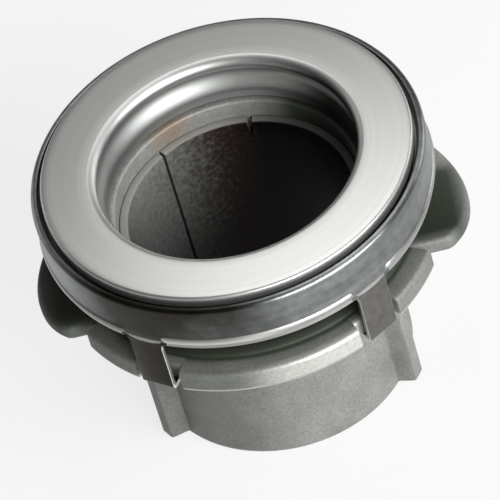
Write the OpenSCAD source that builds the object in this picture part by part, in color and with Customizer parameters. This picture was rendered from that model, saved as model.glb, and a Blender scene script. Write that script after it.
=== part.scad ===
// Self-centring clutch release bearing: a cast guide sleeve with fork pads carries a
// ball bearing in a pressed cover, whose four tabs are turned in under the sleeve's flange.
// The frame: +Z up along the axis, origin at the centre of the sleeve's foot,
// X through the two fork pads.

/* [Contact ring] */
// Height of the contact face above the sleeve's foot
face_z = 52; // [51:0.5:55]
// Diameter of the contact ring
ring_d = 66; // [65.4:0.1:66.6]
// Thickness of the contact ring's disc
disc_t = 2.2; // [1.8:0.1:2.3]
// Diameter of the contact ring's bore at the lip
ring_bore_d = 46.6; // [46:0.1:47.4]
// How far the bore narrows towards the neck's lower end, on the radius
bore_taper = 0.7; // [0.2:0.1:1]
// How far the bead in the bore swells out
bead_crown = 0.6; // [0.2:0.1:0.8]
// Length of the contact ring's neck below the ball centres
neck_l = 2.6; // [2.3:0.1:2.8]
// Radius of the rounded lip inside the contact face
lip_r = 1.1; // [0.6:0.1:1.4]
// Radius on the ring's other edges
ring_edge_r = 0.5; // [0.2:0.1:0.7]

/* [Ball set] */
// Ball diameter
ball_d = 5.556; // [5.3:0.05:5.6]
// Number of balls
ball_n = 20; // [12:1:21]
// Diameter of the circle through the ball centres
pitch_d = 57.2; // [57:0.1:57.4]
// Depth of the ball centres below the contact face
ball_depth = 6.0; // [5.95:0.05:6.3]
// Gap between a ball and its groove
ball_gap = 0.12; // [0.08:0.01:0.15]
// Gap between a ball and its cage pocket
pocket_gap = 0.16; // [0.12:0.01:0.18]
// Radial width of the cage
cage_w = 2.6; // [2:0.1:3]
// Gap between the cage and the contact ring's neck
cage_gap = 0.9; // [0.5:0.1:1.1]
// How far the cage's prongs reach below the ball centres
prong_h = 1.2; // [0.6:0.1:1.6]
// Thickness of the cage's ring above the balls
cage_web = 0.6; // [0.4:0.05:0.65]

/* [Fixed ring and seals] */
// Outer diameter of the fixed ring
fixed_d = 67.8; // [67.4:0.1:68.4]
// Inner diameter of the fixed ring's wall
fixed_wall_d = 61.6; // [61.2:0.1:62]
// Thickness of the fixed ring's floor
floor_t = 1.6; // [1.3:0.1:1.8]
// Depth of the floor's top below the ball centres
floor_drop = 3.7; // [3.5:0.1:3.9]
// Depth of the wall's top below the contact face
wall_depth = 3.3; // [3.2:0.1:3.6]
// Radius of the bend between the floor and the wall
floor_bend_r = 1.2; // [0.6:0.1:1.5]
// Running gap of the seals
seal_gap = 0.25; // [0.15:0.05:0.3]
// Height of the outer seal
outer_seal_h = 1.0; // [0.8:0.1:1.1]
// Radial width of the inner seal
inner_seal_w = 1.4; // [1:0.1:1.6]

/* [Cover] */
// Thickness of the cover's sheet
sheet_t = 1.0; // [0.8:0.1:1.1]
// Clearance between the cover and the fixed ring
cover_gap = 0.1; // [0.05:0.05:0.2]
// Height of the cover's wall
cover_h = 9.0; // [8.5:0.1:9.4]
// How far the top lip turns in past the wall's inside
cover_lip = 0.2; // [0.1:0.05:0.4]
// Height of the rolled hem at the wall's lower edge
hem_h = 1.0; // [0.8:0.1:1.4]
// How far that hem stands out
hem_out = 0.35; // [0.2:0.05:0.6]
// Width of a tab
tab_w = 6.2; // [5.4:0.1:7]
// Angle of the tabs from the fork axis
tab_angle = 55; // [52:0.5:58]
// Radius at the root of a tab
tab_root_r = 1.4; // [0.8:0.1:2.4]
// How far a tab's end is turned in, from its outer side
crimp_l = 3.4; // [2.6:0.1:3.6]

/* [Spring] */
// Thickness of the wave spring
spring_t = 0.6; // [0.4:0.05:0.8]
// Number of waves
spring_waves = 4; // [3:1:6]
// Radial width of the wave spring
spring_w = 3.2; // [2:0.1:3.4]

/* [Guide sleeve] */
// Diameter of the sleeve's bore, which holds the liner
sleeve_bore_d = 43.3; // [43:0.1:43.6]
// Outer diameter of the barrel
barrel_d = 47; // [46.4:0.1:48]
// Outer diameter of the neck inside the bearing
sleeve_neck_d = 46.8; // [46.4:0.1:47.2]
// Gap between the sleeve's upper end and the contact ring's neck
neck_end_gap = 0.5; // [0.3:0.1:0.8]
// Outer diameter of the boss under the spring
boss_d = 60; // [59:0.1:61]
// Room for the spring between the boss and the fixed ring
spring_room = 1.7; // [1.4:0.1:2]
// Outer diameter of the flange
flange_d = 69.2; // [68.4:0.1:69.8]
// Thickness of the flange
flange_t = 4.4; // [4.2:0.1:5.2]
// Depth of the flange's top below the contact face
flange_depth = 18.3; // [18:0.1:19]
// Thickness of the flange above a tab's turned-in end
flange_hold_t = 3.2; // [2.4:0.1:3.4]
// Radial play that lets the bearing centre itself
centring_play = 1.1; // [1:0.05:1.3]
// Half the angle of the flange's opening round a fork pad
opening_angle = 27; // [25:0.5:28]
// Diameter of the sleeve in that opening
opening_d = 54; // [50:0.5:57]
// Edge radius of the flange and the foot
cast_edge_r = 0.7; // [0.3:0.1:1]

/* [Fork pads and ribs] */
// Width of a fork pad
pad_w = 24; // [22:0.5:25]
// Diameter across the two fork pads
pad_d = 78; // [76:0.2:80]
// Thickness of a fork pad
pad_t = 3.3; // [2.5:0.1:3.6]
// Radius of a fork pad's rounded underside
pad_rocker_r = 35; // [28:0.5:40]
// Radius of a fork pad's rounded end, seen from above
pad_end_r = 18; // [14:0.5:24]
// Height of a fork pad's lowest line above the sleeve's foot
pad_z = 26.2; // [25:0.1:27]
// Angle of the ribs from the fork axis
rib_angle = 31.5; // [30.5:0.5:34]
// Thickness of a rib
rib_t = 3; // [2.5:0.1:3.5]
// Diameter across the ribs
rib_d = 54; // [52:0.1:56]
// Height of a rib's outer end above the sleeve's foot
rib_end_h = 1.2; // [0.8:0.1:3]
// Height of a rib's root above the sleeve's foot
rib_root_h = 0.4; // [0.2:0.1:0.8]

/* [Liner] */
// Bore of the liner, which runs on the guide tube
liner_bore_d = 40; // [39.6:0.1:40.4]
// Clearance of the liner in the sleeve
liner_gap = 0.02; // [0.01:0.01:0.04]
// How far the liner stands in from the sleeve's foot
liner_inset = 0.6; // [0.2:0.1:1]
// Depth of the liner's upper rim below the contact face
liner_depth = 12.5; // [12:0.1:14]
// Width of the liner's butt seam
seam_w = 0.6; // [0.3:0.05:0.8]
// Angle of the seam round the bore
seam_angle = 126; // [110:1:170]
// Width of the slit in the liner's rim
slit_w = 0.8; // [0.5:0.1:2]
// Depth of that slit
slit_h = 3; // [1:0.1:4]
// Angle of the slit round the bore
slit_angle = 78; // [60:1:95]

/* [Hidden] */
$fn = 96;
// Steps of an arc in an outline
arc_steps = 6;
// Room that a cutting tool has past the face it cuts
past = 1;
// Gap between a tab's turned-in end and the flange above it
crimp_gap = 0.1;
// Gap between the wave spring's crests and the faces it presses on
spring_gap = 0.06;

function ball_name(i) = str("ball_", i < 9 ? "0" : "", i + 1);

// The bearing, from the contact face downwards
disc_under_z = face_z - disc_t;
ball_z = face_z - ball_depth;
ball_r = ball_d / 2;
groove_r = ball_r + ball_gap;
pocket_r = ball_r + pocket_gap;
neck_r = pitch_d / 2 - cage_w / 2 - cage_gap;
ring_end_z = ball_z - neck_l;
cage_top_z = ball_z + pocket_r + cage_web;
floor_top_z = ball_z - floor_drop;
floor_z = floor_top_z - floor_t;
wall_top_z = face_z - wall_depth;

// The cover: its lip lies on the outer seal, which lies on the fixed ring's wall
lip_z = wall_top_z + outer_seal_h;
cover_top_z = lip_z + sheet_t;
cover_z = cover_top_z - cover_h;
cover_r = fixed_d / 2 + cover_gap;
cover_out_r = cover_r + sheet_t;
tab_top_z = cover_z + hem_h + hem_out;

// The sleeve: its flange and neck stand clear of the bearing by the centring play
flange_top_z = face_z - flange_depth;
flange_z = flange_top_z - flange_t;
boss_z = floor_z - spring_room;
sleeve_top_z = ring_end_z - neck_end_gap;
fixed_bore_r = sleeve_neck_d / 2 + centring_play;
tab_end_z = flange_top_z - flange_hold_t - crimp_gap - sheet_t;
crimp_in_r = cover_out_r - crimp_l;
notch_half_w = tab_w / 2 + centring_play + cover_gap;

// The spring, and the liner
spring_low_z = boss_z + spring_gap;
spring_wave_h = (spring_room - 2 * spring_gap - spring_t) / 2;
spring_out_r = boss_d / 2 - centring_play;
liner_r = sleeve_bore_d / 2 - liner_gap;
liner_top_z = face_z - liner_depth;

// Points of an arc about a centre, from angle a0 to a1
function arc(centre, r, a0, a1) =
    [for (i = [0 : arc_steps])
        let (a = a0 + (a1 - a0) * i / arc_steps)
        [centre[0] + r * cos(a), centre[1] + r * sin(a)]];

// A wedge of the plane between two angles under 180 degrees apart, out past radius r
module sector(a0, a1, r) {
    middle = (a0 + a1) / 2;
    polygon([for (p = [[0, 0], [r, a0], [r, middle], [r, a1]])
        p[0] / cos((a1 - a0) / 4) * [cos(p[1]), sin(p[1])]]);
}

// Its child at the four places that mirror about the X and Y planes
module four_ways() {
    for (x = [0, 1], y = [0, 1])
        mirror([x, 0, 0]) mirror([0, y, 0]) children();
}

// The space that the balls run in
module ball_groove() {
    rotate_extrude() translate([pitch_d / 2, ball_z]) circle(groove_r);
}

// Place of ball i in the cage
module ball_place(i) {
    rotate([0, 0, 360 * i / ball_n]) translate([pitch_d / 2, 0, ball_z]) children();
}

// One steel ball
module ball(i) {
    color([0.85, 0.85, 0.86]) ball_place(i) sphere(ball_r);
}

// Rotating ring: flat ground face, rounded lip, and a beaded bore that narrows downwards
module contact_ring() {
    r_out = ring_d / 2;
    r_lip = ring_bore_d / 2;
    // A fine groove parts the lip from the bead
    groove_depth = 0.25;
    groove_h = 0.6;
    lip_end_z = face_z - 1.5 * lip_r;
    bead_top_z = lip_end_z - groove_h;
    bead_end_z = ring_end_z + ring_edge_r;
    bead_steps = 10;
    bead = [for (i = [0 : bead_steps])
        let (t = i / bead_steps)
        [r_lip - bore_taper * t - bead_crown * sin(180 * t), bead_top_z + (bead_end_z - bead_top_z) * t]];
    outline = concat(
        arc([neck_r - ring_edge_r, ring_end_z + ring_edge_r], ring_edge_r, -90, 0),
        [[neck_r, disc_under_z], [r_out, disc_under_z]],
        arc([r_out - ring_edge_r, face_z - ring_edge_r], ring_edge_r, 0, 90),
        arc([r_lip + lip_r, face_z - lip_r], lip_r, 90, 180),
        [[r_lip, lip_end_z], [r_lip + groove_depth, lip_end_z], [r_lip + groove_depth, bead_top_z]],
        bead,
        [[r_lip - bore_taper + ring_edge_r, ring_end_z]]
    );
    color([0.80, 0.80, 0.79])
        difference() {
            rotate_extrude() polygon(outline);
            ball_groove();
        }
}

// Stationary ring: a wall with the outer ball groove, and a floor that the spring presses on
module fixed_ring() {
    r_out = fixed_d / 2;
    outline = concat(
        [[fixed_bore_r, floor_z]],
        arc([r_out - floor_bend_r, floor_z + floor_bend_r], floor_bend_r, -90, 0),
        [[r_out, wall_top_z], [fixed_wall_d / 2, wall_top_z], [fixed_wall_d / 2, floor_top_z],
         [fixed_bore_r, floor_top_z]]
    );
    color([0.62, 0.61, 0.57])
        difference() {
            rotate_extrude() polygon(outline);
            ball_groove();
        }
}

// Rubber ring clamped under the cover's lip, its edge close to the contact ring
module outer_seal() {
    r_in = ring_d / 2 + seal_gap;
    color([0.06, 0.06, 0.06])
        rotate_extrude()
            translate([r_in, wall_top_z]) square([fixed_d / 2 - r_in, outer_seal_h]);
}

// Rubber ring on the fixed ring's floor, with a slanted lip under the contact ring's neck
module inner_seal() {
    r_out = fixed_bore_r + inner_seal_w;
    lip_top_z = ring_end_z - seal_gap;
    color([0.06, 0.06, 0.06])
        rotate_extrude()
            polygon([[fixed_bore_r, floor_top_z], [r_out, floor_top_z], [r_out, lip_top_z],
                     [fixed_bore_r + inner_seal_w / 2, lip_top_z]]);
}

// Crown cage: a ring above the balls, with prongs that reach down past their centres
module ball_cage() {
    bottom_z = ball_z - prong_h;
    color([0.75, 0.70, 0.55])
        difference() {
            rotate_extrude()
                translate([pitch_d / 2 - cage_w / 2, bottom_z]) square([cage_w, cage_top_z - bottom_z]);
            for (i = [0 : ball_n - 1])
                ball_place(i) sphere(pocket_r);
        }
}

// The flat shape of a tab, seen along the radius: width across, height up
module tab_outline() {
    root_half_w = tab_w / 2 + tab_root_r;
    root_z = cover_z - tab_root_r;
    difference() {
        translate([-root_half_w, tab_end_z - past]) square([2 * root_half_w, tab_top_z - tab_end_z + past]);
        for (side = [-1, 1]) {
            translate([side * root_half_w, root_z]) circle(tab_root_r);
            translate([side * root_half_w - tab_root_r, tab_end_z - 2 * past])
                square([2 * tab_root_r, root_z - tab_end_z + 2 * past]);
        }
    }
}

// One tab: the wall's sheet carried down and turned in under the flange
module tab() {
    bend_r = 1.2 * sheet_t;
    section = concat(
        [[crimp_in_r, tab_end_z]],
        arc([cover_out_r - bend_r, tab_end_z + bend_r], bend_r, -90, 0),
        [[cover_out_r, tab_top_z], [cover_r, tab_top_z], [cover_r, tab_end_z + sheet_t],
         [crimp_in_r, tab_end_z + sheet_t]]
    );
    intersection() {
        rotate_extrude() polygon(section);
        rotate([90, 0, 90]) linear_extrude(cover_out_r + past) tab_outline();
    }
}

// The rolled edge at the wall's lower end, between the tabs
module hem() {
    hem_r = hem_h / 2;
    // The roll hangs a little below the wall's end
    roll_z = cover_z + 0.6 * hem_r;
    difference() {
        rotate_extrude()
            translate([cover_out_r + hem_out - hem_r, roll_z]) circle(hem_r);
        four_ways() rotate([0, 0, tab_angle])
            translate([crimp_in_r, -tab_w / 2, cover_z - past]) cube([cover_r, tab_w, hem_h + 2 * past]);
    }
}

// Pressed cover: a wall with a lip turned in at the top, a rolled hem and four tabs
module cover() {
    lip_bend_r = 0.8 * sheet_t;
    outline = concat(
        [[cover_r, cover_z], [cover_out_r, cover_z]],
        arc([cover_out_r - lip_bend_r, cover_top_z - lip_bend_r], lip_bend_r, 0, 90),
        [[cover_r - cover_lip, cover_top_z], [cover_r - cover_lip, lip_z], [cover_r, lip_z]]
    );
    color([0.66, 0.67, 0.68])
        union() {
            rotate_extrude() polygon(outline);
            hem();
            four_ways() rotate([0, 0, tab_angle]) tab();
        }
}

// A point of the wave spring at angle a, radius r, on its lower (0) or upper (1) side
function spring_point(a, r, side) =
    [r * cos(a), r * sin(a),
     spring_low_z + spring_wave_h * (1 + sin(spring_waves * a)) + side * spring_t];

// Wave spring that presses the bearing up against its tabs
module wave_spring() {
    steps = 24 * spring_waves;
    corners = [[spring_out_r - spring_w, 0], [spring_out_r, 0],
               [spring_out_r, 1], [spring_out_r - spring_w, 1]];
    points = [for (i = [0 : steps - 1], c = corners) spring_point(360 * i / steps, c[0], c[1])];
    faces = [for (i = [0 : steps - 1], k = [0 : 3], half = [0, 1])
        let (a = 4 * i, b = 4 * ((i + 1) % steps), n = (k + 1) % 4)
        half == 0 ? [a + k, b + k, b + n] : [a + k, b + n, a + n]];
    color([0.55, 0.56, 0.58]) polyhedron(points, faces, convexity = 6);
}

// The room that a tab and its turned-in end need in the flange, along +X
module tab_notch() {
    // A tab is round on its inner side, so its edges lie further in than its middle
    leg_in_r = sqrt(pow(cover_r, 2) - pow(tab_w / 2, 2)) - centring_play;
    end_in_r = sqrt(pow(crimp_in_r, 2) - pow(tab_w / 2, 2)) - centring_play;
    translate([leg_in_r, -notch_half_w, flange_z - past])
        cube([flange_d, 2 * notch_half_w, flange_t + 2 * past]);
    translate([end_in_r, -notch_half_w, flange_z - past])
        cube([flange_d, 2 * notch_half_w, flange_t - flange_hold_t + past]);
}

// A fork pad seen from above: a strip from the axis outwards, with a rounded end
module pad_plan() {
    end_x = pad_d / 2 - pad_end_r;
    intersection() {
        translate([0, -pad_w / 2]) square([pad_d, pad_w]);
        union() {
            translate([0, -pad_w / 2]) square([end_x, pad_w]);
            translate([end_x, 0]) circle(pad_end_r);
        }
    }
}

// One fork pad: a curved plate, hollow above and rounded below
module fork_pad() {
    axis_z = pad_z + pad_rocker_r;
    intersection() {
        translate([0, 0, axis_z]) rotate([0, 90, 0])
            linear_extrude(pad_d / 2 + past)
                difference() {
                    circle(pad_rocker_r);
                    circle(pad_rocker_r - pad_t);
                }
        translate([0, 0, pad_z - past]) linear_extrude(pad_rocker_r) pad_plan();
    }
}

// One rib on the barrel along +X, with a slanted foot
module rib() {
    inner_r = sleeve_bore_d / 2 + past / 2;
    rotate([90, 0, 0]) translate([0, 0, -rib_t / 2])
        linear_extrude(rib_t)
            polygon([[inner_r, rib_root_h], [barrel_d / 2, rib_root_h], [rib_d / 2, rib_end_h],
                     [rib_d / 2, flange_z + past], [inner_r, flange_z + past]]);
}

// Cast guide sleeve: barrel, ribs, flange, fork pads, spring boss and neck
module guide_sleeve() {
    foot_r = barrel_d / 2 - cast_edge_r;
    rim_r = flange_d / 2 - cast_edge_r;
    body = concat(
        [[0, 0]],
        arc([foot_r, cast_edge_r], cast_edge_r, -90, 0),
        [[barrel_d / 2, flange_z], [opening_d / 2, flange_z], [opening_d / 2, flange_top_z],
         [boss_d / 2, flange_top_z], [boss_d / 2, boss_z], [sleeve_neck_d / 2, boss_z],
         [sleeve_neck_d / 2, sleeve_top_z], [0, sleeve_top_z]]
    );
    rim = concat(
        [[0, flange_z]],
        arc([rim_r, flange_z + cast_edge_r], cast_edge_r, -90, 0),
        arc([rim_r, flange_top_z - cast_edge_r], cast_edge_r, 0, 90),
        [[0, flange_top_z]]
    );
    color([0.66, 0.66, 0.64])
        difference() {
            union() {
                rotate_extrude() polygon(body);
                difference() {
                    rotate_extrude() polygon(rim);
                    for (a = [0, 180])
                        translate([0, 0, flange_z - past]) linear_extrude(flange_t + 2 * past)
                            sector(a - opening_angle, a + opening_angle, flange_d);
                    four_ways() rotate([0, 0, tab_angle]) tab_notch();
                }
                four_ways() rotate([0, 0, rib_angle]) rib();
                for (x = [0, 1])
                    mirror([x, 0, 0]) fork_pad();
            }
            translate([0, 0, -past]) cylinder(h = face_z, d = sleeve_bore_d);
        }
}

// Rolled liner with a butt seam down its length and a slit in its upper rim
module guide_liner() {
    wall_t = liner_r - liner_bore_d / 2;
    color([0.20, 0.20, 0.19])
        difference() {
            rotate_extrude()
                translate([liner_bore_d / 2, liner_inset]) square([wall_t, liner_top_z - liner_inset]);
            rotate([0, 0, seam_angle])
                translate([0, -seam_w / 2, 0]) cube([sleeve_bore_d, seam_w, face_z]);
            rotate([0, 0, slit_angle])
                translate([0, -slit_w / 2, liner_top_z - slit_h]) cube([sleeve_bore_d, slit_w, face_z]);
        }
}

guide_sleeve();
guide_liner();
wave_spring();
cover();
fixed_ring();
outer_seal();
inner_seal();
contact_ring();
ball_cage();
for (i = [0 : ball_n - 1])
    ball(i);
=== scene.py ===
from math import cos, radians, sin

import bmesh
import bpy
import numpy as np
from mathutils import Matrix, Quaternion, Vector


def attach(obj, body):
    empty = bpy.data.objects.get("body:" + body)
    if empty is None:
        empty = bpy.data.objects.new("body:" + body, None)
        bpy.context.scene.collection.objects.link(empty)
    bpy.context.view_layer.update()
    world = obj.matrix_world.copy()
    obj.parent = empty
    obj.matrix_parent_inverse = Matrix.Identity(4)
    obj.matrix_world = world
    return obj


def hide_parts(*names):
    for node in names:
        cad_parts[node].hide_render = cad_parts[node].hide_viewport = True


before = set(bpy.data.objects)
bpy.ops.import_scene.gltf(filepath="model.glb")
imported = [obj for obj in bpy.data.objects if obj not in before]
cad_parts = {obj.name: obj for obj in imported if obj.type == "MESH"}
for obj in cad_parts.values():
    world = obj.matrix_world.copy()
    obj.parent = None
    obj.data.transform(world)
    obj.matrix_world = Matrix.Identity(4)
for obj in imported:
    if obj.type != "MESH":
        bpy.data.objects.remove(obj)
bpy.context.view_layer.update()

# Guide sleeve: one steel casting with a barrel, ribs, an open flange and two curved fork pads.
# It is shell-moulded and left matte; the flange's rim, the boss, the neck and the bore are turned.
# It slides on the gearbox's guide tube and carries every other piece. Sizes are in millimetres.
MM = 0.001
sleeve_bore_r, bore_chamfer_w, bore_chamfer_h = 21.65, 0.3, 0.4
barrel_r, barrel_top_z, foot_round, root_fillet = 23.5, 27.7, 0.7, 1.4
rib_angles = np.array([31.5, 148.5, 211.5, 328.5])
rib_h, rib_mid_r, rib_crest_half_w, rib_foot_half_w = 3.5, 25.0, 1.15, 2.0
flange_r, flange_low_z, flange_top_z, flange_round = 34.6, 29.3, 33.7, 0.7
opening_angles = np.array([0.0, 180.0])
opening_half_angle, opening_depth = 27.0, 7.6
TAB_ANGLES = np.array([55.0, 125.0, 235.0, 305.0])
notch_half_w, notch_mid_r, notch_low_r, notch_top_r, notch_step_z = 4.3, 34.0, 30.35, 32.76, 30.5
boss_r, boss_top_z, boss_fillet, boss_round = 30.0, 39.0, 0.6, 0.5
neck_r, neck_top_z, neck_fillet, neck_round = 23.4, 42.9, 0.6, 0.4


def arc(r, z, radius, start, end, steps=6):
    """Points of a circle: r + radius cos a, z + radius sin a, for a from start to end in degrees."""
    a = np.radians(np.linspace(start, end, steps + 1))
    return np.stack([r + radius * np.cos(a), z + radius * np.sin(a)], -1)


def smooth(x, low, high):
    """Rises from 0 at low to 1 at high as 3t^2 - 2t^3."""
    t = np.clip((x - low) / (high - low), 0, 1)
    return t * t * (3 - 2 * t)


def nearest(angle, centres):
    """The angle from each angle to the nearest centre, in degrees from 0 to 180."""
    return np.abs((angle[:, None] - centres + 180) % 360 - 180).min(1)


def turned(r, z, angle, mark=0.0):
    """Grid points at radius r and height z, at an angle in degrees round the axis, with a finish mark."""
    a = np.radians(angle)
    return np.stack(np.broadcast_arrays(r * np.cos(a), r * np.sin(a), z, mark), -1)


# The sleeve's grid has a line every 1.5 degrees, and more at the edges of ribs, openings and notches
rib_edge_angle, notch_edge_angle = 3.6, 7.3
edges = np.concatenate([(middles[:, None] + [-half, half]).ravel() for middles, half in [
    (rib_angles, rib_edge_angle), (opening_angles, opening_half_angle), (TAB_ANGLES, notch_edge_angle)]])
angle = np.unique(np.round(np.concatenate([
    np.arange(0, 360, 1.5), (edges[:, None] + np.linspace(-1.4, 1.4, 19)).ravel() % 360]), 3))

# How far the flange is open or notched, and the barrel ribbed, at each angle, from 0 to 1
opened = 1 - smooth(nearest(angle, opening_angles), opening_half_angle - 0.4, opening_half_angle + 0.4)
from_tab = notch_mid_r * np.sin(np.radians(nearest(angle, TAB_ANGLES)))
notched = 1 - smooth(from_tab, notch_half_w - 0.15, notch_half_w + 0.15)
from_rib = rib_mid_r * np.sin(np.radians(np.minimum(nearest(angle, rib_angles), 90)))
ribbed = 1 - smooth(from_rib, rib_crest_half_w, rib_foot_half_w)

rim_r = flange_r - opening_depth * opened
low_rim_r = rim_r - (flange_r - notch_low_r) * notched
top_rim_r = rim_r - (flange_r - notch_top_r) * notched
edge_r = flange_round * (1 - opened) + 0.05

# The finish mark is 1 on bare turned metal, 0 on the cast skin, -1 on dark scale and -2 on near black.
# Where it changes round the axis it is painted light: the flange rim's bright band at the front right is a
# painted highlight, and its front left is painted shade.
rim_painted_highlight = smooth(angle, 258, 276) * (1 - smooth(angle, 297, 312))
rim_painted_shade = smooth(angle, 190, 205) * (1 - smooth(angle, 255, 268))
flange_mark_and_painted_light = (rim_painted_highlight - 0.25 * (1 - rim_painted_shade) - 0.5 * rim_painted_shade) * (1 - opened)
# The barrel is painted darker at its front left, as shade away from the key light.
barrel_painted_shade = -0.35 * smooth(angle, 185, 215) * (1 - smooth(angle, 235, 280))
# The neck is painted near black towards 5 degrees, as shade on its unlit right side.
neck_mark_and_painted_shade = 0.05 - 1.8 * smooth(np.cos(np.radians(angle - 5)), 0.3, 0.9)
# The boss and its foot are painted near black, as shade under the cover.
under_edge_mark, boss_foot_painted_shade, boss_painted_shade = 0.5, -1.2, -1.9


def sleeve_row(r, z, mark=0.0):
    """One line round the sleeve: radius and height at each angle."""
    return turned(r, z, angle, mark)


def barrel_wall(z):
    """The barrel's radius at each angle, with rib_h more on a rib, which slants out from z 0.6 to 1.5."""
    return barrel_r + np.minimum(rib_h * ribbed, rib_h * smooth(z, 0.6, 1.5))


rows = [sleeve_row(sleeve_bore_r, bore_chamfer_h, 1.0), sleeve_row(sleeve_bore_r + bore_chamfer_w, 0.0)]
rows += [sleeve_row(r, z) for r, z in arc(barrel_r - foot_round, foot_round, foot_round, -90, 0, 5)]
wall_z = np.concatenate([np.arange(0.75, 1.6, 0.15), np.arange(3, 27.1, 3), [barrel_top_z]])
rows += [sleeve_row(barrel_wall(z), z, barrel_painted_shade) for z in wall_z]
fillet_r = barrel_wall(barrel_top_z) + root_fillet
rows += [sleeve_row(fillet_r + r, z)
         for r, z in arc(0, flange_low_z - root_fillet, root_fillet, 180, 90, 6)[1:]]
under_r = fillet_r + 0.1
rows += [sleeve_row(under_r + (low_rim_r - edge_r - under_r) * t, flange_low_z)
         for t in (0.1, 0.4, 0.7, 1.0)]
rows += [
    sleeve_row(low_rim_r - edge_r * (1 - cos(a)), flange_low_z + edge_r * (1 + sin(a)), under_edge_mark)
    for a in np.radians([-67, -45, -22, 0])]
rows += [sleeve_row(low_rim_r, z, flange_mark_and_painted_light) for z in (notch_step_z - 0.3, notch_step_z - 0.05)]
rows += [sleeve_row(top_rim_r, z, flange_mark_and_painted_light) for z in (notch_step_z + 0.05, 31.5, 32.4)]
rows += [
    sleeve_row(top_rim_r - edge_r * (1 - cos(a)), flange_top_z - edge_r * (1 - sin(a)), 0.8 * flange_mark_and_painted_light)
    for a in np.radians([0, 22, 45, 67, 90])]
rim_in_r = top_rim_r - edge_r
boss_foot = boss_fillet * (1 - opened)
# The flange's top is painted darker towards the boss, as shade under the cover.
rows += [sleeve_row(rim_in_r + (boss_r + boss_foot - rim_in_r) * t, flange_top_z, -0.1 - 0.5 * t)
         for t in (0.35, 0.7)]
rows += [
    sleeve_row(boss_r + boss_foot * (1 - sin(a)), flange_top_z + boss_foot * (1 - cos(a)), boss_foot_painted_shade)
    for a in np.radians([0, 30, 60, 90])]
boss = np.concatenate([
    [[boss_r, 36.0]], arc(boss_r - boss_round, boss_top_z - boss_round, boss_round, 0, 90, 4),
    [[27.0, boss_top_z], [25.0, boss_top_z], [neck_r + neck_fillet, boss_top_z]]])
rows += [sleeve_row(r, z, boss_painted_shade) for r, z in boss]
neck = np.concatenate([
    arc(neck_r + neck_fillet, boss_top_z + neck_fillet, neck_fillet, 270, 180, 4)[1:], [[neck_r, 41.0]],
    arc(neck_r - neck_round, neck_top_z - neck_round, neck_round, 0, 90, 4), [[22.3, neck_top_z]],
    arc(sleeve_bore_r + neck_round, neck_top_z - neck_round, neck_round, 90, 180, 4),
    [[sleeve_bore_r, 40.5], [sleeve_bore_r, 38.0], [sleeve_bore_r, 20.0]]])
rows += [sleeve_row(r, z, neck_mark_and_painted_shade) for r, z in neck]
body_grid = np.stack(rows, 1)

# A fork pad is a bent plate with a rounded rim. Seen from above it runs out along one side, round a small
# corner, along an arc and back. Its height at y is pad_bend_z - sqrt(R^2 - y^2), where R is pad_bend_r,
# more below the middle layer and less above it.
pad_half_w, pad_half_t, pad_reach, pad_end_r, pad_corner_r, pad_rim_r = 12.0, 1.65, 39.0, 18.0, 2.0, 1.2
pad_bend_z, pad_bend_r = 61.2, 33.35
pad_root_x, pad_root_r, pad_root_end_x = 18.9, 22.4, 30.0
end_x = pad_reach - pad_end_r
corner_y = pad_half_w - pad_corner_r
corner_x = end_x + np.sqrt((pad_end_r - pad_corner_r) ** 2 - corner_y ** 2)
corner_a = np.degrees(np.arctan2(corner_y, corner_x - end_x))
side_x = np.linspace(pad_root_x, corner_x, 13)[:-1]
plan = np.concatenate([
    np.stack([side_x, 0 * side_x - pad_half_w], -1),
    arc(corner_x, -corner_y, pad_corner_r, -90, -corner_a, 6),
    arc(end_x, 0, pad_end_r, -corner_a, corner_a, 24)[1:-1],
    arc(corner_x, corner_y, pad_corner_r, corner_a, 90, 6),
    np.stack([side_x[::-1], 0 * side_x + pad_half_w], -1)])
along = np.gradient(plan, axis=0)
along /= np.linalg.norm(along, axis=1)[:, None]
outward = np.stack([along[:, 1], -along[:, 0]], -1)
spine = np.stack([np.minimum(plan[:, 0], 32.0), 0 * plan[:, 0]], -1)
inset = plan - pad_rim_r * outward
pad_rows = [(spine + (inset - spine) * t, pad_half_t) for t in np.linspace(0, 1, 9)]
pad_rows += [(plan - pad_rim_r * (1 - cos(a)) * outward, pad_half_t - pad_rim_r * (1 - sin(a)))
             for a in np.radians([75, 60, 45, 30, 15, 0])]
pad_rows += [(xy, -layer) for xy, layer in pad_rows[::-1]]


def pad_row(xy, layer, side):
    """A line of the plate at a height over its middle layer; its inner end is a circle in the barrel."""
    x, y = xy[:, 0], xy[:, 1]
    root_share = np.clip((pad_root_end_x - x) / (pad_root_end_x - pad_root_x), 0, 1)
    x = x + (np.sqrt(pad_root_r ** 2 - y ** 2) - pad_root_x) * root_share
    z = pad_bend_z - np.sqrt((pad_bend_r - layer) ** 2 - y ** 2)
    from_rim = np.min([pad_half_w - np.abs(y), pad_reach + 0.5 - x], axis=0)
    # The pad's top is painted dark as the cover's cast shadow, fading out near its rim and towards the
    # rear, and the left pad is painted darker as shade.
    painted_can_shadow = np.clip(from_rim / 4, 0, 1) * (1 - smooth(y, 5, 8.5))
    return np.stack([side * x, y, z, -0.15 - painted_can_shadow - 0.4 * (side < 0)], -1)


pads = []
for side in (1, -1):
    plate = np.stack([pad_row(xy, layer, side) for xy, layer in pad_rows], 1)
    closed = np.stack([pad_row(xy, 0, side) for xy, layer in pad_rows], 1)
    pads.append((np.concatenate([closed[:1], plate, closed[-1:]]), False, False))


def linear(hex_colour):
    """An sRGB hex colour as linear red, green, blue and alpha."""
    c = np.array([int(hex_colour[i:i + 2], 16) for i in (1, 3, 5)]) / 255
    c = np.where(c <= 0.04045, c / 12.92, ((c + 0.055) / 1.055) ** 2.4)
    return (*c.tolist(), 1.0)


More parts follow.
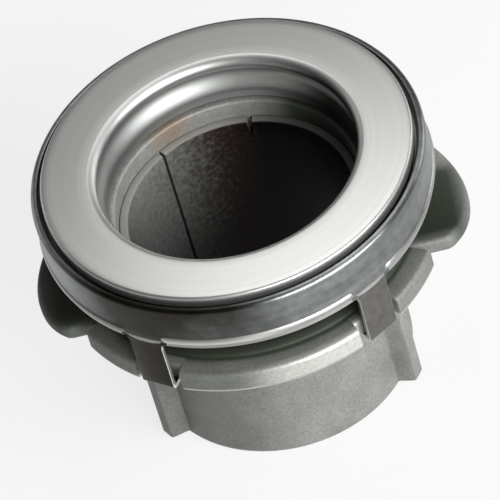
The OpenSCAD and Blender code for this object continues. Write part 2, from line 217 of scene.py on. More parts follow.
def fill(tree, node, inputs):
    """Sets or links a node's inputs, named by socket name or number."""
    for key, value in inputs.items():
        if isinstance(value, bpy.types.NodeSocket):
            tree.links.new(value, node.inputs[key])
        else:
            node.inputs[key].default_value = value


def add(tree, kind, settings, inputs):
    """Adds a node, sets its properties and fills its inputs."""
    made = tree.nodes.new(kind)
    for key, value in settings.items():
        setattr(made, key, value)
    fill(tree, made, inputs)
    return made


def new_material(name):
    """A material, its node tree, its shader and its Object coordinates."""
    made = bpy.data.materials.new(name)
    made.use_nodes = True
    tree = made.node_tree
    place = add(tree, "ShaderNodeTexCoord", {}, {}).outputs["Object"]
    return made, tree, tree.nodes["Principled BSDF"], place


# A colour Mix takes its factor at 0 and its colours at 6 and 7, and gives its colour at output 2.
# A Map Range takes its value at 0, the range it comes from at 1 and 2, and the range it goes to at 3 and 4.
COLOUR = {"data_type": "RGBA"}
OVERLAY = {"data_type": "RGBA", "blend_type": "OVERLAY"}
FINISH = {"attribute_name": "finish"}

# Shell-moulded steel, phosphated: a matte grey skin with faint mottling and a sand grain, which is drawn
# about 0.6 mm wide so that it shows. Where the finish mark says machined, it is a paler, smoother metal.
cast_steel, tree, shader, place = new_material("cast_steel_phosphated")
finish = add(tree, "ShaderNodeAttribute", FINISH, {}).outputs["Fac"]
mottle = add(tree, "ShaderNodeTexNoise", {}, {
    "Vector": place, "Scale": 1 / (6 * MM), "Detail": 4.0}).outputs[0]
grain = add(tree, "ShaderNodeTexNoise", {}, {
    "Vector": place, "Scale": 1 / (0.6 * MM), "Detail": 2.0}).outputs[0]
grain_grey = add(tree, "ShaderNodeCombineColor", {}, {0: grain, 1: grain, 2: grain}).outputs[0]
skin = add(tree, "ShaderNodeMix", COLOUR, {
    0: mottle, 6: linear("#696b68"), 7: linear("#929390")}).outputs[2]
skin = add(tree, "ShaderNodeMix", OVERLAY, {0: 0.35, 6: skin, 7: grain_grey}).outputs[2]
# Below 0 the finish mark darkens the skin towards dark scale at -1 and near black at -2; most of these dark
# marks are painted shade.
scale_and_painted_shade = add(tree, "ShaderNodeMath", {"operation": "MULTIPLY"}, {0: finish, 1: -1.0}).outputs[0]
skin = add(tree, "ShaderNodeMix", COLOUR, {0: scale_and_painted_shade, 6: skin, 7: linear("#343a30")}).outputs[2]
painted_deep_shade = add(tree, "ShaderNodeMath", {"operation": "SUBTRACT"}, {0: scale_and_painted_shade, 1: 1.0}).outputs[0]
skin = add(tree, "ShaderNodeMix", COLOUR, {0: painted_deep_shade, 6: skin, 7: linear("#070705")}).outputs[2]
bare = add(tree, "ShaderNodeMix", COLOUR, {
    0: grain, 6: linear("#b4b4ae"), 7: linear("#e4e4df")}).outputs[2]
skin = add(tree, "ShaderNodeMix", COLOUR, {0: finish, 6: skin, 7: bare}).outputs[2]
# A brown tint on the neck at the back left is drawn as a rust stain that fades out 6 mm from its middle
rust_at = (-10.2 * MM, 20.1 * MM, 42.8 * MM)
from_rust = add(tree, "ShaderNodeVectorMath", {"operation": "DISTANCE"}, {
    0: place, 1: rust_at}).outputs["Value"]
rusted = add(tree, "ShaderNodeMapRange", {}, {
    0: from_rust, 1: 6 * MM, 2: 2 * MM, 3: 0.0, 4: 0.5}).outputs[0]
skin = add(tree, "ShaderNodeMix", COLOUR, {0: rusted, 6: skin, 7: linear("#8a6f52")}).outputs[2]
# Turning lines run round the axis, too fine to draw, so the gleam is drawn out across them
round_axis = add(tree, "ShaderNodeVectorMath", {"operation": "CROSS_PRODUCT"}, {
    0: (0.0, 0.0, 1.0), 1: place}).outputs[0]
fill(tree, shader, {"Base Color": skin, "Anisotropic Rotation": 0.25, "Tangent": round_axis})
for socket, cast, machined in [
        ("Anisotropic", 0.0, 0.9), ("Metallic", 0.35, 0.95), ("Roughness", 0.62, 0.4)]:
    by_finish = add(tree, "ShaderNodeMapRange", {}, {0: finish, 3: cast, 4: machined}).outputs[0]
    fill(tree, shader, {socket: by_finish})
depth = add(tree, "ShaderNodeMapRange", {}, {0: finish, 3: 0.5, 4: 0.12}).outputs[0]
fill(tree, shader, {"Normal": add(tree, "ShaderNodeBump", {}, {
    "Strength": depth, "Distance": 0.15 * MM, "Height": grain}).outputs[0]})


def piece(name, grids, material, body, node):
    """A mesh of quads between neighbouring points of grids in mm, wrapped where a grid closes."""
    points, quads, count = [], [], 0
    for grid, wrap_u, wrap_v in grids:
        index = np.arange(grid.shape[0] * grid.shape[1]).reshape(grid.shape[:2]) + count
        count += index.size
        index = np.vstack([index, index[:1]]) if wrap_u else index
        index = np.hstack([index, index[:, :1]]) if wrap_v else index
        corners = [index[:-1, :-1], index[1:, :-1], index[1:, 1:], index[:-1, 1:]]
        quads.append(np.stack(corners, -1).reshape(-1, 4))
        points.append(grid.reshape(-1, 4))
    points, quads = np.concatenate(points), np.concatenate(quads)
    mesh = bpy.data.meshes.new(name)
    mesh.from_pydata(points[:, :3] * MM, [], quads)
    marks = mesh.attributes.new("finish", "FLOAT", "POINT")
    marks.data.foreach_set("value", points[:, 3].astype(np.float32))
    shape = bmesh.new()
    shape.from_mesh(mesh)
    bmesh.ops.remove_doubles(shape, verts=shape.verts, dist=0.002 * MM)
    bmesh.ops.recalc_face_normals(shape, faces=shape.faces)
    shape.to_mesh(mesh)
    shape.free()
    mesh.shade_smooth()
    mesh.set_sharp_from_angle(angle=radians(40))
    made = bpy.data.objects.new(name, mesh)
    bpy.context.scene.collection.objects.link(made)
    made.data.materials.append(material)
    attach(made, body)
    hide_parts(node)


sleeve_grids = [(body_grid, True, True)] + pads
piece("sleeve_casting", sleeve_grids, cast_steel, "sleeve", "guide_sleeve")

# Liner: a strip of steel rolled into a bush, with a butt seam and a slit in its upper rim.
# It is coated dark with a dry lubricant, and pressed into the sleeve's bore.
liner_in_r, liner_mid_r, liner_out_r, liner_end_r = 20.0, 20.8, 21.63, 20.81
liner_low_z, liner_top_z, liner_rim_h = 0.6, 39.5, 0.3
liner_round, liner_foot_round = 0.35, 0.3
seam_angle, seam_half_w = 126.0, 0.3
slit_angle, slit_h, slit_half_w, slit_edge = 78.0, 3.0, 0.4, 0.08
seam_half = np.degrees(seam_half_w / liner_mid_r)
slit_side = np.degrees(np.linspace(slit_half_w - 0.1, slit_half_w + 0.1, 5) / liner_mid_r)
liner_angle = np.unique(np.concatenate([
    np.linspace(seam_angle + seam_half, seam_angle + 360 - seam_half, 300),
    slit_angle + 360 + slit_side, slit_angle + 360 - slit_side]))
from_slit = liner_mid_r * np.radians(nearest(liner_angle, slit_angle))
beside_slit = smooth(from_slit, slit_half_w - slit_edge, slit_half_w + slit_edge)[:, None]
liner_heights = np.array([8.0, 20.0, 30.0, 35.5])
section = np.concatenate([
    arc(liner_in_r + liner_round, liner_low_z + liner_round, liner_round, 180, 270, 4),
    arc(liner_out_r - liner_foot_round, liner_low_z + liner_foot_round, liner_foot_round, 270, 360, 4),
    np.stack([0 * liner_heights + liner_out_r, liner_heights], -1),
    arc(liner_out_r - liner_round, liner_top_z - liner_round, liner_round, 0, 90, 4),
    arc(liner_in_r + liner_round, liner_top_z - liner_round, liner_round, 90, 180, 4),
    np.stack([0 * liner_heights + liner_in_r, liner_heights[::-1]], -1)])
# The rim's mark of 1 is bare metal. It is less at the slit, and it is painted less towards 20 degrees as
# shade on the bore's unlit side.
up_rim = section[:, 1] - (liner_top_z - liner_rim_h)
liner_mark = np.clip(up_rim / liner_rim_h, 0, 1) * beside_slit
liner_mark = liner_mark * (1 - 0.75 * smooth(np.cos(np.radians(liner_angle - 20)), 0.2, 0.9))[:, None]
over_slit = np.where(section[:, 1] > liner_top_z - slit_h, 1.0, 0.0)
liner_z = section[:, 1] - over_slit * slit_h * (1 - beside_slit)
liner_grid = turned(section[:, 0], liner_z, liner_angle[:, None], liner_mark)
ends = [turned(0 * section[:, 0] + liner_end_r, liner_z[i], liner_angle[i]) for i in (0, -1)]
liner_grid = np.concatenate([ends[0][None], liner_grid, ends[1][None]])

SMOOTHSTEP = {"interpolation_type": "SMOOTHSTEP"}


def toward(tree, place, degrees):
    """The cosine of the angle between a point's direction from the axis and a direction in degrees."""
    flat = add(tree, "ShaderNodeVectorMath", {"operation": "MULTIPLY"}, {
        0: place, 1: (1.0, 1.0, 0.0)}).outputs[0]
    heading = add(tree, "ShaderNodeVectorMath", {"operation": "NORMALIZE"}, {0: flat}).outputs[0]
    goal = (cos(radians(degrees)), sin(radians(degrees)), 0.0)
    return add(tree, "ShaderNodeVectorMath", {"operation": "DOT_PRODUCT"}, {
        0: heading, 1: goal}).outputs["Value"]


# Coated steel strip: near black and grainy, with a bright sheared rim. Towards 148 degrees it is painted
# brown and then paler, as painted light on the side of the bore that faces the lamp.
coated_strip, tree, shader, place = new_material("coated_steel_strip")
finish = add(tree, "ShaderNodeAttribute", FINISH, {}).outputs["Fac"]
wear = add(tree, "ShaderNodeTexNoise", {}, {
    "Vector": place, "Scale": 1 / (0.9 * MM), "Detail": 5.0}).outputs[0]
ragged_painted_light = add(tree, "ShaderNodeMath", {"operation": "MULTIPLY_ADD"}, {
    0: wear, 1: 0.6, 2: toward(tree, place, 148)}).outputs[0]
half_lit_brown = add(tree, "ShaderNodeMapRange", SMOOTHSTEP, {0: ragged_painted_light, 1: 0.5, 2: 1.0}).outputs[0]
painted_lit_side = add(tree, "ShaderNodeMapRange", SMOOTHSTEP, {0: ragged_painted_light, 1: 0.85, 2: 1.45}).outputs[0]
coat = add(tree, "ShaderNodeMix", COLOUR, {
    0: half_lit_brown, 6: linear("#020202"), 7: linear("#261e1b")}).outputs[2]
coat = add(tree, "ShaderNodeMix", COLOUR, {0: painted_lit_side, 6: coat, 7: linear("#696b68")}).outputs[2]
fill(tree, shader, {
    "Specular IOR Level": 0.06,
    "Base Color": add(tree, "ShaderNodeMix", COLOUR, {0: finish, 6: coat, 7: linear("#7c7b76")}).outputs[2],
    "Roughness": add(tree, "ShaderNodeMapRange", {}, {0: wear, 3: 0.38, 4: 0.6}).outputs[0],
    "Normal": add(tree, "ShaderNodeBump", {}, {
        "Strength": 0.25, "Distance": 0.1 * MM, "Height": wear}).outputs[0]})

piece("liner_bush", [(liner_grid, False, True)], coated_strip, "sleeve", "guide_liner")

# Wave spring: a flat ring of spring steel with four waves, punched and hardened.
# It lies on the sleeve's boss and presses the bearing up against the cover's tabs.
spring_mid_r, spring_half_w, spring_half_t, spring_corner = 27.3, 1.6, 0.3, 0.12
spring_low_z, wave_half_h, waves = 39.06, 0.49, 4


def rounded_box(half_w, half_t, corner, steps):
    """A closed outline of a rectangle with rounded corners, as points (across, through)."""
    w, t = half_w - corner, half_t - corner
    return np.concatenate([
        arc(w, t, corner, 0, 90, steps), arc(-w, t, corner, 90, 180, steps),
        arc(-w, -t, corner, 180, 270, steps), arc(w, -t, corner, 270, 360, steps)])


spring_angle = np.linspace(0, 360, 193)[:-1, None]
spring_section = rounded_box(spring_half_w, spring_half_t, spring_corner, 3)
spring_z = spring_low_z + spring_half_t + wave_half_h * (1 + np.sin(np.radians(waves * spring_angle)))
spring_grid = turned(spring_mid_r + spring_section[:, 0], spring_z + spring_section[:, 1], spring_angle)


def mottled(name, metallic, grain_mm, detail, colours, roughness, stretch=1.0):
    """A material whose colour and roughness follow one noise, drawn out in X and Y by 1 / stretch."""
    made, tree, shader, place = new_material(name)
    lines = add(tree, "ShaderNodeMapping", {}, {
        "Vector": place, "Scale": (stretch, stretch, 1.0)}).outputs[0]
    noise = add(tree, "ShaderNodeTexNoise", {}, {
        "Vector": lines, "Scale": 1 / (grain_mm * MM), "Detail": detail}).outputs[0]
    fill(tree, shader, {
        "Metallic": metallic,
        "Base Color": add(tree, "ShaderNodeMix", COLOUR, {
            0: noise, 6: linear(colours[0]), 7: linear(colours[1])}).outputs[2],
        "Roughness": add(tree, "ShaderNodeMapRange", {}, {
            0: noise, 3: roughness[0], 4: roughness[1]}).outputs[0]})
    return made


# Hardened spring strip: dark blue-grey, with a satin rolled sheen.
spring_steel = mottled("hardened_spring_steel", 1.0, 4.0, 3.0, ("#26282b", "#43474b"), (0.3, 0.5))
piece("spring_ring", [(spring_grid, True, True)], spring_steel, "spring", "wave_spring")

# Fixed ring and its seal: a turned ring of bearing steel with the outer ball groove and a floor.
# A rubber ring is bonded to the floor, with its lip under the contact ring's neck.
pitch_r, ball_z, groove_r, groove_open = 28.6, 46.0, 2.898, 2.2
fixed_in_r, fixed_wall_r, fixed_out_r = 24.5, 30.8, 33.9
fixed_low_z, fixed_floor_z, fixed_top_z = 40.7, 42.3, 48.7
floor_round, shoulder_round, wall_round, corner_relief = 0.3, 1.2, 0.2, 0.4
inner_seal_r, inner_seal_top_z = 25.9, 43.15
round_angle = np.linspace(0, 360, 289)[:-1, None]


def lathe(outline, mark=0.0):
    """A closed outline of radius and height carried once round the axis."""
    return (turned(outline[:, 0], outline[:, 1], round_angle, mark), True, True)


groove_turn = np.degrees(np.arccos(groove_open / groove_r))
fixed_outline = np.concatenate([
    arc(fixed_in_r + floor_round, fixed_low_z + floor_round, floor_round, 180, 270, 3),
    [[28.0, fixed_low_z], [31.0, fixed_low_z]],
    arc(fixed_out_r - shoulder_round, fixed_low_z + shoulder_round, shoulder_round, -90, 0, 8),
    [[fixed_out_r, 45.0]],
    arc(fixed_out_r - wall_round, fixed_top_z - wall_round, wall_round, 0, 90, 3),
    arc(fixed_wall_r + wall_round, fixed_top_z - wall_round, wall_round, 90, 180, 3),
    arc(pitch_r, ball_z, groove_r, groove_turn, -groove_turn, 12),
    arc(fixed_wall_r + corner_relief, fixed_floor_z + corner_relief, corner_relief, 180, 270, 4),
    [[28.0, fixed_floor_z]],
    arc(fixed_in_r + floor_round, fixed_floor_z - floor_round, floor_round, 90, 180, 3)])

# Turned bearing steel: mid grey satin metal with turning lines round the axis, drawn about 0.5 mm apart so
# that they show.
turned_steel = mottled(
    "turned_bearing_steel", 1.0, 0.5, 3.0, ("#7f7e78", "#b0afa8"), (0.26, 0.44), stretch=0.02)
piece("fixed_race", [lathe(fixed_outline)], turned_steel, "housing", "fixed_ring")

# Nitrile rubber: matte black, slightly grey where it is dusty.
rubber = mottled("nitrile_rubber", 0.0, 2.0, 4.0, ("#141414", "#2a2a29"), (0.55, 0.8))
inner_outline = np.array([
    [fixed_in_r, fixed_floor_z], [inner_seal_r, fixed_floor_z], [inner_seal_r, inner_seal_top_z - 0.1],
    [inner_seal_r - 0.1, inner_seal_top_z], [25.3, inner_seal_top_z], [25.2, 43.1]])
piece("inner_seal_ring", [lathe(inner_outline)], rubber, "housing", "inner_seal")

# Balls and cage: twenty chrome steel balls in a moulded crown cage, greased and out of sight.
# The balls snap into the cage's pockets and run in the grooves of both rings.

# Polished chrome steel: bright and mirror-like, yellowed and dulled here and there by grease.
chrome_steel = mottled("polished_chrome_steel", 1.0, 3.0, 3.0, ("#c9c9c8", "#b5aa92"), (0.06, 0.28))

# Glass-filled nylon: a tan, satin moulding, faintly mottled by its glass fibres.
nylon = mottled("glass_filled_nylon", 0.0, 0.8, 4.0, ("#a8925f", "#cdb98a"), (0.4, 0.6))

for name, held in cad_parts.items():
    if name.startswith("ball_"):
        held.data.materials.clear()
        held.data.materials.append(nylon if name == "ball_cage" else chrome_steel)

# Contact ring: the rotating ring that the diaphragm spring's fingers press on.
# It is bearing steel, drawn and turned with a beaded bore, then hardened and ground on its flat face.
face_r, face_z, face_round, face_under_z, under_round = 33.0, 52.0, 0.5, 49.8, 0.2
lip_r, lip_round = 23.05, 1.7
ring_neck_r, neck_corner = 26.4, 0.6
ring_bore_r, ring_end_z, ring_end_round = 22.3, 43.4, 0.5
bead_low_z, bead_top_z, bead_rise = 45.0, 49.3, 1.45
bead_z = np.linspace(bead_top_z, ring_end_z + ring_end_round, 25)
bead = np.stack([ring_bore_r + bead_rise * smooth(bead_z, bead_low_z, bead_top_z), bead_z], -1)
lip_groove = [[23.1, 50.1], [23.6, 49.9], [23.75, 49.6]]
ring_outline = np.concatenate([
    arc(ring_neck_r - ring_end_round, ring_end_z + ring_end_round, ring_end_round, -90, 0, 4),
    arc(pitch_r, ball_z, groove_r, 180 + groove_turn, 180 - groove_turn, 12), [[ring_neck_r, 48.9]],
    arc(ring_neck_r + neck_corner, face_under_z - neck_corner, neck_corner, 180, 90, 4),
    [[30.0, face_under_z]],
    arc(face_r - under_round, face_under_z + under_round, under_round, -90, 0, 3), [[face_r, 50.8]],
    arc(face_r - face_round, face_z - face_round, face_round, 0, 90, 6),
    [[31.5, face_z], [30.0, face_z], [28.0, face_z], [26.5, face_z]],
    arc(lip_r + lip_round, face_z - lip_round, lip_round, 90, 180, 12), lip_groove, bead,
    arc(ring_bore_r + ring_end_round, ring_end_z + ring_end_round, ring_end_round, 180, 270, 4)])
face_mark = np.clip((ring_outline[:, 1] - (face_z - 0.05)) / 0.05, 0, 1)

# Ground bearing steel: bright satin metal, with close rings round the axis from the wheel on the flat face
# and a slightly darker drawn skin in the bore. The rings are drawn about 0.6 mm apart, so that they show.
ground_steel, tree, shader, place = new_material("ground_bearing_steel")
finish = add(tree, "ShaderNodeAttribute", FINISH, {}).outputs["Fac"]
flat = add(tree, "ShaderNodeMapping", {}, {"Vector": place, "Scale": (1.0, 1.0, 0.0)}).outputs[0]
out = add(tree, "ShaderNodeVectorMath", {"operation": "LENGTH"}, {0: flat}).outputs["Value"]
height = add(tree, "ShaderNodeSeparateXYZ", {}, {0: place}).outputs["Z"]
ring_place = add(tree, "ShaderNodeCombineXYZ", {}, {0: out, 1: height}).outputs[0]
rings = add(tree, "ShaderNodeTexNoise", {}, {
    "Vector": ring_place, "Scale": 1 / (0.6 * MM), "Detail": 3.0}).outputs[0]
cloud = add(tree, "ShaderNodeTexNoise", {}, {
    "Vector": place, "Scale": 1 / (12 * MM), "Detail": 3.0}).outputs[0]
drawn_skin = add(tree, "ShaderNodeMix", COLOUR, {
    0: cloud, 6: linear("#a9acab"), 7: linear("#cacbc8")}).outputs[2]
# The bore is painted dark towards 10 degrees, as shade on the side of the bore that the lamps don't reach.
right_side = add(tree, "ShaderNodeMapRange", SMOOTHSTEP, {
    0: toward(tree, place, 10), 1: 0.45, 2: 0.95}).outputs[0]
inside = add(tree, "ShaderNodeMapRange", {}, {0: out, 1: 24.0 * MM, 2: 23.2 * MM}).outputs[0]
painted_bore_shade = add(tree, "ShaderNodeMath", {"operation": "MULTIPLY"}, {0: right_side, 1: inside}).outputs[0]
drawn_skin = add(tree, "ShaderNodeMix", COLOUR, {
    0: painted_bore_shade, 6: drawn_skin, 7: linear("#1b1a18")}).outputs[2]
ground_skin = add(tree, "ShaderNodeMix", COLOUR, {
    0: rings, 6: linear("#b9b9b6"), 7: linear("#dad9d6")}).outputs[2]
fill(tree, shader, {
    "Metallic": 1.0,
    "Base Color": add(tree, "ShaderNodeMix", COLOUR, {0: finish, 6: drawn_skin, 7: ground_skin}).outputs[2],
    "Roughness": add(tree, "ShaderNodeMapRange", {}, {0: finish, 3: 0.44, 4: 0.36}).outputs[0],
    "Normal": add(tree, "ShaderNodeBump", {}, {
        "Strength": 0.12, "Distance": 0.06 * MM, "Height": rings}).outputs[0]})

contact_grid = lathe(ring_outline, face_mark)
piece("contact_race", [contact_grid], ground_steel, "ring", "contact_ring")

# Outer seal: a rubber ring clamped between the fixed ring's wall and the cover's lip.
# Its inner edge stands close to the contact ring and keeps dirt out of the balls.
seal_in_r, seal_top_z, seal_round = 33.25, 49.7, 0.15
outer_outline = np.concatenate([
    arc(seal_in_r + seal_round, fixed_top_z + seal_round, seal_round, 180, 270, 3),
    [[fixed_out_r, fixed_top_z], [fixed_out_r, seal_top_z]],
    arc(seal_in_r + seal_round, seal_top_z - seal_round, seal_round, 90, 180, 3)])
piece("outer_seal_ring", [lathe(outer_outline)], rubber, "housing", "outer_seal")

# Cover: a can pressed from steel sheet that holds the bearing together, with its lip turned in on top.
# Its lower edge is rolled out, and four tabs run down and are bent in under the sleeve's flange.
cover_r, cover_in_r, cover_lip_r = 35.0, 34.0, 33.8
cover_low_z, cover_top_z, cover_round, lip_edge = 41.1, 50.7, 0.8, 0.15
roll_mid_r, roll_z, roll_round, roll_taper = 34.45, 43.0, 0.9, 2.5
tab_half_w, tab_half_t, tab_end_half_t, tab_mid_r = 3.1, 0.49, 0.40, 34.5
tab_root_fillet, tab_corner = 1.4, 0.12
tab_top_z, tab_root_z, tab_bend_r, tab_bend_z = 43.0, 40.3, 0.7, 30.6
cover_outline = np.concatenate([
    arc(cover_lip_r + lip_edge, cover_top_z - lip_edge, lip_edge, 180, 90, 3),
    arc(cover_r - cover_round, cover_top_z - cover_round, cover_round, 90, 0, 8),
    [[cover_r, 47.0], [cover_r, 44.0], [cover_r, 42.6], [34.85, 42.0], [34.85, 41.4], [34.6, cover_low_z]],
    [[cover_in_r, cover_low_z], [cover_in_r, 46.0], [cover_in_r, 49.6], [33.9, seal_top_z]],
    arc(cover_lip_r + lip_edge, seal_top_z + lip_edge, lip_edge, 270, 180, 3)])

# The cover's finish mark is 1 on a sheared or rubbed edge, 0 on the wall and -1 on a tab's face
lower_edge_mark = 0.5 * np.clip((42.4 - cover_outline[:, 1]) / 0.4, 0, 1)
cover_grids = [lathe(cover_outline, lower_edge_mark)]

# The rolled edge between two tabs is a bead that swells from nothing as a quarter ellipse at both ends.
# It is palest at the front left, as a rubbed edge with a painted highlight.
roll_gap = np.degrees((tab_half_w + 0.2) / cover_r)
loop = np.radians(np.linspace(0, 360, 25)[:-1])
for low, high in zip(TAB_ANGLES, np.append(TAB_ANGLES[1:], TAB_ANGLES[0] + 360)):
    half_span = (high - low) / 2 - roll_gap
    span = (low + high) / 2 - half_span * np.cos(np.linspace(0, np.pi, 90))
    from_end = np.minimum(span - span[0], span[-1] - span)
    swell = np.sqrt(1 - (1 - np.clip(from_end / roll_taper, 0, 1)) ** 2)
    roll_paleness_and_highlight = 1.0 - 0.75 * smooth(span, 266, 284) if low == 235 else 0.35
    roll_r = roll_round * swell[:, None]
    cover_grids.append((turned(
        roll_mid_r + roll_r * np.cos(loop), roll_z + roll_r * np.sin(loop), span[:, None],
        (roll_paleness_and_highlight * swell)[:, None]), False, True))

# A tab's middle line runs down the wall, round the bend and in; a thin rounded box is carried along it,
# wider at the root by the fillet's circle.
leg_z = np.concatenate([
    [tab_top_z], np.linspace(tab_root_z + tab_root_fillet, tab_root_z, 14), np.linspace(39, tab_bend_z, 7)])
hook_r = np.array([33.0, 32.3, 31.7, 31.6])
tab_line = np.concatenate([
    np.stack([0 * leg_z + tab_mid_r, leg_z], -1),
    arc(tab_mid_r - tab_bend_r, tab_bend_z, tab_bend_r, 0, -90, 6)[1:],
    np.stack([hook_r, 0 * hook_r + tab_bend_z - tab_bend_r], -1)])
line_dir = np.gradient(tab_line, axis=0)
line_dir /= np.linalg.norm(line_dir, axis=1)[:, None]
line_out = np.stack([-line_dir[:, 1], line_dir[:, 0]], -1)
rise = np.clip(tab_line[:, 1] - tab_root_z, 0, tab_root_fillet)
half_w = tab_half_w + tab_root_fillet - np.sqrt(tab_root_fillet ** 2 - rise ** 2)
half_t = np.full(len(tab_line), tab_half_t)
half_t[-1] = tab_end_half_t
tab_rows = []
for (r, z), (out_r, out_z), w, t in zip(tab_line, line_out, half_w, half_t):
    box = rounded_box(w, t, tab_corner, 3)
    sheared = np.where(np.abs(box[:, 0]) > w - 0.1, 1.0, -1.0) * min(1.0, (tab_top_z - z) / 1.5)
    tab_rows.append(np.stack([r + out_r * box[:, 1], z + out_z * box[:, 1], box[:, 0], sheared], -1))
end_row = tab_rows[-1].copy()
end_row[:, :2] = tab_line[-1]
tab_rows = np.stack(tab_rows + [end_row])
for tab_angle in TAB_ANGLES:
    round_tab = tab_angle + np.degrees(tab_rows[..., 2] / tab_mid_r)
    tab_grid = turned(tab_rows[..., 0], tab_rows[..., 1], round_tab, tab_rows[..., 3])
    cover_grids.append((tab_grid, False, True))

# Cold-rolled steel sheet, oiled: grey speckled metal with drawing lines round the wall, duller tabs, and
# bright edges where the sheet was sheared or rolled. The lines are drawn about 1.4 mm apart, to show.
oiled_sheet, tree, shader, place = new_material("oiled_steel_sheet")
finish = add(tree, "ShaderNodeAttribute", FINISH, {}).outputs["Fac"]
stain = add(tree, "ShaderNodeTexNoise", {}, {
    "Vector": place, "Scale": 1 / (14 * MM), "Detail": 3.0}).outputs[0]
speckle = add(tree, "ShaderNodeTexNoise", {}, {
    "Vector": place, "Scale": 1 / (1.6 * MM), "Detail": 4.0}).outputs[0]
drawn = add(tree, "ShaderNodeMapping", {}, {"Vector": place, "Scale": (0.06, 0.06, 1.0)}).outputs[0]
streak = add(tree, "ShaderNodeTexNoise", {}, {
    "Vector": drawn, "Scale": 1 / (1.4 * MM), "Detail": 4.0}).outputs[0]
speckle_grey = add(tree, "ShaderNodeCombineColor", {}, {0: speckle, 1: speckle, 2: speckle}).outputs[0]
sheet = add(tree, "ShaderNodeMix", COLOUR, {
    0: streak, 6: linear("#5c6061"), 7: linear("#979a98")}).outputs[2]
sheet = add(tree, "ShaderNodeMix", OVERLAY, {0: 0.4, 6: sheet, 7: speckle_grey}).outputs[2]
on_tab = add(tree, "ShaderNodeMath", {"operation": "MULTIPLY"}, {0: finish, 1: -1.0}).outputs[0]
tab_face = add(tree, "ShaderNodeMix", COLOUR, {
    0: speckle, 6: linear("#56534f"), 7: linear("#7c7b76")}).outputs[2]
sheet = add(tree, "ShaderNodeMix", COLOUR, {0: on_tab, 6: sheet, 7: tab_face}).outputs[2]
# The wall is painted dark brown towards 243 degrees in a ragged patch: a film of old oil together with
# painted shade on the side away from the lamps
ragged_painted_light = add(tree, "ShaderNodeMath", {"operation": "MULTIPLY_ADD"}, {
    0: stain, 1: 0.3, 2: toward(tree, place, 243)}).outputs[0]
oil_film_and_painted_shade = add(tree, "ShaderNodeMapRange", {}, {0: ragged_painted_light, 1: 0.95, 2: 1.15, 3: 0.0, 4: 0.92}).outputs[0]
sheet = add(tree, "ShaderNodeMix", COLOUR, {0: oil_film_and_painted_shade, 6: sheet, 7: linear("#1f1b13")}).outputs[2]
sheet = add(tree, "ShaderNodeMix", COLOUR, {0: finish, 6: sheet, 7: linear("#d2d2ce")}).outputs[2]
# The sheared and rolled edges are drawn scuffed, so they are rougher than the wall
wall_roughness = add(tree, "ShaderNodeMapRange", {}, {0: streak, 3: 0.26, 4: 0.42}).outputs[0]
round_axis = add(tree, "ShaderNodeVectorMath", {"operation": "CROSS_PRODUCT"}, {
    0: (0.0, 0.0, 1.0), 1: place}).outputs[0]
fill(tree, shader, {
    "Metallic": 1.0,
    "Base Color": sheet,
    "Roughness": add(tree, "ShaderNodeMix", {}, {0: finish, 2: wall_roughness, 3: 0.5}).outputs[0],
    "Anisotropic": 0.7,
    "Anisotropic Rotation": 0.25,
    "Tangent": round_axis,
    "Normal": add(tree, "ShaderNodeBump", {}, {
        "Strength": 0.15, "Distance": 0.06 * MM, "Height": streak}).outputs[0]})

piece("pressed_cover", cover_grids, oiled_sheet, "housing", "cover")

# Stage: a plain pale floor, soft studio lamps and the camera at the photograph's angle.
# The floor is one large sheet of white paper. To the camera and in mirrors most of its light is an even
# glow, and the rest keeps the object's soft shadow. Sizes here are in metres.
floor_half, floor_drop, glow_share = 3.0, 0.05 * MM, 0.85
floor_line = np.linspace(-floor_half, floor_half, 5)
floor_x, floor_y = np.meshgrid(floor_line, floor_line, indexing="ij")
floor_points = np.stack([floor_x, floor_y, 0 * floor_x - floor_drop], -1).reshape(-1, 3)
cells = np.arange(floor_x.size).reshape(floor_x.shape)
floor_mesh = bpy.data.meshes.new("floor")
floor_mesh.from_pydata(floor_points, [], np.stack(
    [cells[:-1, :-1], cells[1:, :-1], cells[1:, 1:], cells[:-1, 1:]], -1).reshape(-1, 4))
floor = bpy.data.objects.new("floor", floor_mesh)
bpy.context.scene.collection.objects.link(floor)

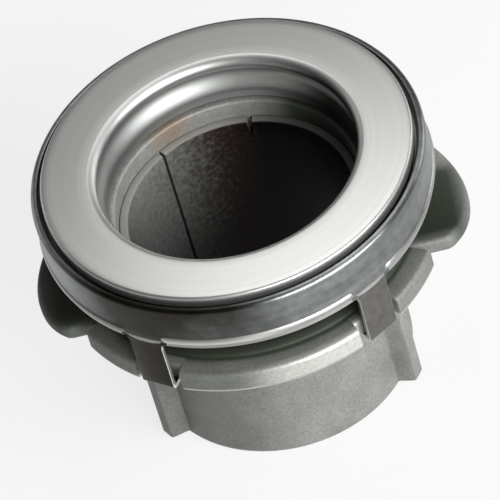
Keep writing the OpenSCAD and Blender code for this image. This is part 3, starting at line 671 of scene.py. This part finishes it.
# White paper: matte and slightly warm.
paper = bpy.data.materials.new("white_paper_sweep")
paper.use_nodes = True
tree = paper.node_tree
shader = tree.nodes["Principled BSDF"]
fill(tree, shader, {"Base Color": linear("#f4f4f3"), "Roughness": 0.9})
rays = add(tree, "ShaderNodeLightPath", {}, {}).outputs
seen = rays["Is Camera Ray"]
for kind in ("Is Glossy Ray", "Is Transmission Ray"):
    seen = add(tree, "ShaderNodeMath", {"operation": "MAXIMUM"}, {0: seen, 1: rays[kind]}).outputs[0]
share = add(tree, "ShaderNodeMath", {"operation": "MULTIPLY"}, {0: seen, 1: glow_share}).outputs[0]
glow = add(tree, "ShaderNodeEmission", {}, {"Color": linear("#f7f7f7"), "Strength": 1.0}).outputs[0]
lit = add(tree, "ShaderNodeMixShader", {}, {0: share, 1: shader.outputs[0], 2: glow}).outputs[0]
fill(tree, tree.nodes["Material Output"], {"Surface": lit})
floor_mesh.materials.append(paper)

world = bpy.data.worlds.new("studio")
world.use_nodes = True
tree = world.node_tree
mirrored = add(tree, "ShaderNodeLightPath", {}, {}).outputs["Is Glossy Ray"]
fill(tree, tree.nodes["Background"], {
    "Color": linear("#ffffff"),
    "Strength": add(tree, "ShaderNodeMapRange", {}, {0: mirrored, 3: 0.07, 4: 0.13}).outputs[0]})
bpy.context.scene.world = world

lit_point = Vector((0, 0, 0.035))
for lamp_name, at, size, power in [
        ("face_softbox", (0.020, 0.075, 0.200), (0.12, 0.09), 0.080),
        ("front_softbox", (0.37, -0.47, 0.40), (0.70, 0.32), 9.5),
        ("back_right_strip", (0.50, 0.30, 0.25), (0.25, 0.4), 0.9),
        ("back_left_strip", (-0.45, 0.40, 0.25), (0.25, 0.4), 0.35)]:
    lamp = bpy.data.lights.new(lamp_name, "AREA")
    lamp.shape = "RECTANGLE"
    lamp.size, lamp.size_y = size
    lamp.energy = power
    holder = bpy.data.objects.new(lamp_name, lamp)
    holder.location = at
    holder.visible_camera = False
    holder.rotation_mode = "QUATERNION"
    holder.rotation_quaternion = (lit_point - Vector(at)).to_track_quat("-Z", "Y")
    bpy.context.scene.collection.objects.link(holder)

azimuth, elevation, roll = radians(5), radians(45.76), radians(-17.0)
camera_far, aim = 1.0, Vector((-0.0006, 0, 0.0278))
back = Vector((sin(azimuth) * cos(elevation), -cos(azimuth) * cos(elevation), sin(elevation)))
camera = bpy.data.objects.new("camera", bpy.data.cameras.new("camera"))
camera.data.lens = 408.8
camera.data.sensor_width = 36
camera.location = aim + camera_far * back
camera.rotation_mode = "QUATERNION"
camera.rotation_quaternion = (-back).to_track_quat("-Z", "Y") @ Quaternion((0, 0, 1), roll)
bpy.context.scene.collection.objects.link(camera)
bpy.context.scene.camera = camera
bpy.context.scene.view_settings.view_transform = "Standard"
